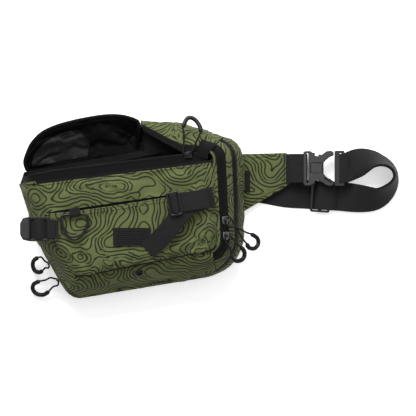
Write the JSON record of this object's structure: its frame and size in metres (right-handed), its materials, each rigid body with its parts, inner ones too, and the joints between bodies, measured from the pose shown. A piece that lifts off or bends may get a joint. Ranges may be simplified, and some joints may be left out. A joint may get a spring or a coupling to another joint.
{
  "type": "sling bag",
  "caption": "Padded printed-fabric sling bag lying on its back with its mouth flap folded open, zip pulls on cord loops, a grab handle and a shoulder strap with a side-release buckle.",
  "frame": {"origin": "on the floor under the middle of the bag, on the lower back pad's flat face", "axes": "+X along the bag towards the shoulder strap, +Y towards the open mouth, +Z from the back to the front of the bag"},
  "size_m": [0.4991, 0.2401, 0.1041],
  "materials": {
    "printed_fabric": "matt woven nylon with a contour-line print",
    "black_nylon": "coated lining and zip tape",
    "spacer_mesh": "open spacer mesh",
    "black_webbing": "ribbed webbing",
    "black_acetal": "moulded satin",
    "cord_sleeve": "smooth",
    "dark_nickel": "dark nickel plate"
  },
  "bodies": {
    "bag": {"back_pad_lower": "spacer_mesh", "back_pad_upper": "spacer_mesh", "back_board": "black_nylon", "back_lining": "black_nylon", "mesh_pocket": "spacer_mesh", "gusset_left_bottom": "printed_fabric", "gusset_right_front": "printed_fabric", "gusset_right_middle": "printed_fabric", "gusset_back_strip": "printed_fabric", "top_gusset": "printed_fabric", "front_zip_tape_inner": "black_nylon", "front_zip_tape_outer": "black_nylon", "rear_zip_tape_inner": "black_nylon", "rear_zip_tape_outer": "black_nylon", "front_inner_panel": "printed_fabric", "front_upper_panel": "printed_fabric", "front_pocket_panel": "printed_fabric", "main_zip_tape_front": "black_nylon", "main_zip_end_tab": "black_nylon", "eyelet": "black_acetal", "handle_webbing": "black_webbing", "handle_triglide": "black_acetal", "label_patch": "black_webbing", "ladder_lock_tab": "black_webbing", "d_ring_tab": "black_webbing", "strap_under": "black_webbing"},
    "mouth_flap": {"flap_shell": "printed_fabric", "flap_lining": "black_nylon", "interior_pocket": "black_nylon", "flap_zip_tape": "black_nylon"},
    "main_slider": {"main_slider": "dark_nickel"},
    "main_pull": {"main_pull_cord": "cord_sleeve", "main_pull_sleeve": "cord_sleeve"},
    "front_zip_upper_slider": {"front_zip_upper_slider": "dark_nickel"},
    "front_zip_upper_pull": {"front_zip_upper_pull_cord": "cord_sleeve", "front_zip_upper_pull_sleeve": "cord_sleeve"},
    "front_zip_lower_slider": {"front_zip_lower_slider": "dark_nickel"},
    "front_zip_lower_pull": {"front_zip_lower_pull_cord": "cord_sleeve", "front_zip_lower_pull_sleeve": "cord_sleeve"},
    "rear_zip_upper_slider": {"rear_zip_upper_slider": "dark_nickel"},
    "rear_zip_upper_pull": {"rear_zip_upper_pull_cord": "cord_sleeve", "rear_zip_upper_pull_sleeve": "cord_sleeve"},
    "rear_zip_lower_slider": {"rear_zip_lower_slider": "dark_nickel"},
    "rear_zip_lower_pull": {"rear_zip_lower_pull_cord": "cord_sleeve", "rear_zip_lower_pull_sleeve": "cord_sleeve"},
    "ladder_lock": {"ladder_lock": "black_acetal"},
    "d_ring": {"d_ring": "dark_nickel"},
    "wing_strap": {"wing": "printed_fabric", "wing_tag": "black_webbing", "wing_webbing": "black_webbing", "buckle_socket": "black_acetal", "strap_webbing": "black_webbing"},
    "buckle_plug": {"buckle_plug": "black_acetal"},
    "prong_upper": {"prong_upper": "black_acetal"},
    "prong_lower": {"prong_lower": "black_acetal"},
    "tri_glide": {"tri_glide": "black_acetal"}
  },
  "joints": [
    {"name": "mouth_flap_fold", "type": "hinge", "parent": "bag", "child": "mouth_flap", "pos_m": [-0.142, 0.0588, 0.011], "axis": [0.9843, 0.1766, 0], "range_deg": [0, 66]},
    {"name": "main_slider_slide", "type": "slide", "parent": "bag", "child": "main_slider", "axis": [-0.9926, -0.1217, 0], "range_m": [0, 0.185]},
    {"name": "main_pull_hinge", "type": "hinge", "parent": "main_slider", "child": "main_pull", "pos_m": [0.07032, 0.07808, 0.08109], "axis": [0.9889, 0.1483, 0], "range_deg": [0, 95]},
    {"name": "front_zip_upper_slider_slide", "type": "slide", "parent": "bag", "child": "front_zip_upper_slider", "axis": [-0.0453, 0.999, 0.0014], "range_m": [0, 0.06]},
    {"name": "front_zip_upper_pull_hinge", "type": "hinge", "parent": "front_zip_upper_slider", "child": "front_zip_upper_pull", "pos_m": [0.12044, -0.00674, 0.07694], "axis": [-0.4272, -0.8545, 0.2956], "range_deg": [0, 75]},
    {"name": "front_zip_lower_slider_slide", "type": "slide", "parent": "bag", "child": "front_zip_lower_slider", "axis": [-0.0523, 0.9983, 0.0257], "range_m": [0, 0.004]},
    {"name": "front_zip_lower_pull_hinge", "type": "hinge", "parent": "front_zip_lower_slider", "child": "front_zip_lower_pull", "pos_m": [0.12137, -0.02679, 0.07689], "axis": [-0.7685, -0.3842, 0.5117], "range_deg": [0, 75]},
    {"name": "rear_zip_upper_slider_slide", "type": "slide", "parent": "bag", "child": "rear_zip_upper_slider", "axis": [-0.4961, 0.8681, 0.0159], "range_m": [0, 0.008]},
    {"name": "rear_zip_upper_pull_hinge", "type": "hinge", "parent": "rear_zip_upper_slider", "child": "rear_zip_upper_pull", "pos_m": [-0.11313, -0.06339, 0.02747], "axis": [-0.4991, 0.8661, -0.0294], "range_deg": [0, 50]},
    {"name": "rear_zip_lower_slider_slide", "type": "slide", "parent": "bag", "child": "rear_zip_lower_slider", "axis": [-0.5024, 0.8583, -0.1044], "range_m": [-0.005, 0.003]},
    {"name": "rear_zip_lower_pull_hinge", "type": "hinge", "parent": "rear_zip_lower_slider", "child": "rear_zip_lower_pull", "pos_m": [-0.10053, -0.08517, 0.02866], "axis": [-0.4961, 0.8134, -0.3039], "range_deg": [0, 70]},
    {"name": "ladder_lock_hinge", "type": "hinge", "parent": "bag", "child": "ladder_lock", "pos_m": [-0.11, -0.018, 0.0898], "axis": [0, 1, 0], "range_deg": [0, 100]},
    {"name": "d_ring_hinge", "type": "hinge", "parent": "bag", "child": "d_ring", "pos_m": [-0.076, 0.0012, 0.0899], "axis": [-0.9901, -0.14, 0], "range_deg": [0, 110]},
    {"name": "wing_hinge", "type": "hinge", "parent": "bag", "child": "wing_strap", "pos_m": [0.1435, 0.0425, 0.0106], "axis": [0, -1, 0], "range_deg": [0, 55]},
    {"name": "buckle_plug_slide", "type": "slide", "parent": "wing_strap", "child": "buckle_plug", "axis": [1, 0, 0], "range_m": [0, 0.034], "deforming": ["strap_webbing"]},
    {"name": "prong_upper_flex", "type": "hinge", "parent": "buckle_plug", "child": "prong_upper", "pos_m": [0.2618, 0.0803, 0.0152], "axis": [0, 0, 1], "range_deg": [0, 8], "stiffness_Nm_per_rad": 0.05},
    {"name": "prong_lower_flex", "type": "hinge", "parent": "buckle_plug", "child": "prong_lower", "pos_m": [0.2618, 0.0427, 0.0152], "axis": [0, 0, -1], "range_deg": [0, 8], "stiffness_Nm_per_rad": 0.05},
    {"name": "tri_glide_slide", "type": "slide", "parent": "wing_strap", "child": "tri_glide", "axis": [-0.998, 0.0639, 0], "range_m": [-0.01, 0.026], "deforming": ["strap_webbing"]}
  ],
  "couplings": [
    {"joint": "prong_lower_flex", "follows": "prong_upper_flex", "ratio": 1}
  ]
}
